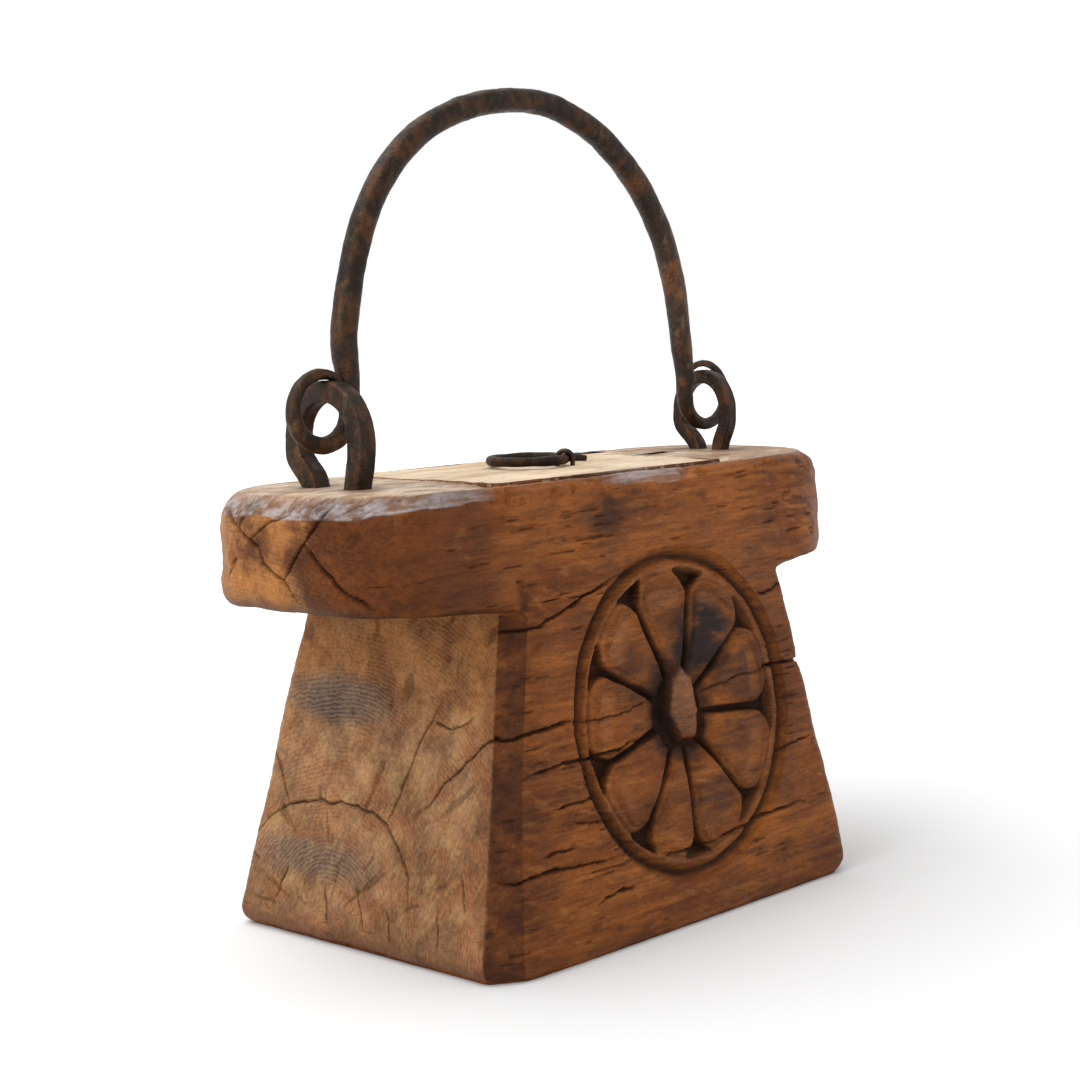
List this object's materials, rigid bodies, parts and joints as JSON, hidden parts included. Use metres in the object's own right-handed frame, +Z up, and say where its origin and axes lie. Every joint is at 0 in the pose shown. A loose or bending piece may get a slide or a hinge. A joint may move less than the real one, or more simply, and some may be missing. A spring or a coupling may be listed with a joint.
{
  "type": "donation box",
  "caption": "Antique wooden donation box carved from one block, with a forged swing handle and a lift-out lid with a pull ring.",
  "frame": {"origin": "middle of the flat base", "axes": "+Z up, +X along the length, the carved flower looks towards -Y"},
  "size_m": [0.293, 0.1456, 0.3219],
  "materials": {
    "block_wood": "worn, hand-hewn, satin",
    "lid_wood": "bare, dry, matte",
    "forged_iron": "dark forged, lightly rusted, satin"
  },
  "bodies": {
    "box": {"box_body": "block_wood", "left_staple": "forged_iron", "right_staple": "forged_iron"},
    "bail": {"bail_handle": "forged_iron"},
    "lid": {"lid": "lid_wood", "ring_pin": "forged_iron"},
    "ring": {"pull_ring": "forged_iron"}
  },
  "joints": [
    {"name": "bail_swing", "type": "hinge", "parent": "box", "child": "bail", "pos_m": [0, 0.0035, 0.191], "axis": [1, 0, 0], "range_deg": [-98, 98]},
    {"name": "lid_lift", "type": "slide", "parent": "box", "child": "lid", "axis": [0, 0, 1], "range_m": [0, 0.07]},
    {"name": "ring_swing", "type": "hinge", "parent": "lid", "child": "ring", "pos_m": [0.0015, -0.011, 0.17695], "axis": [0.7314, 0.682, 0], "range_deg": [0, 168]}
  ]
}
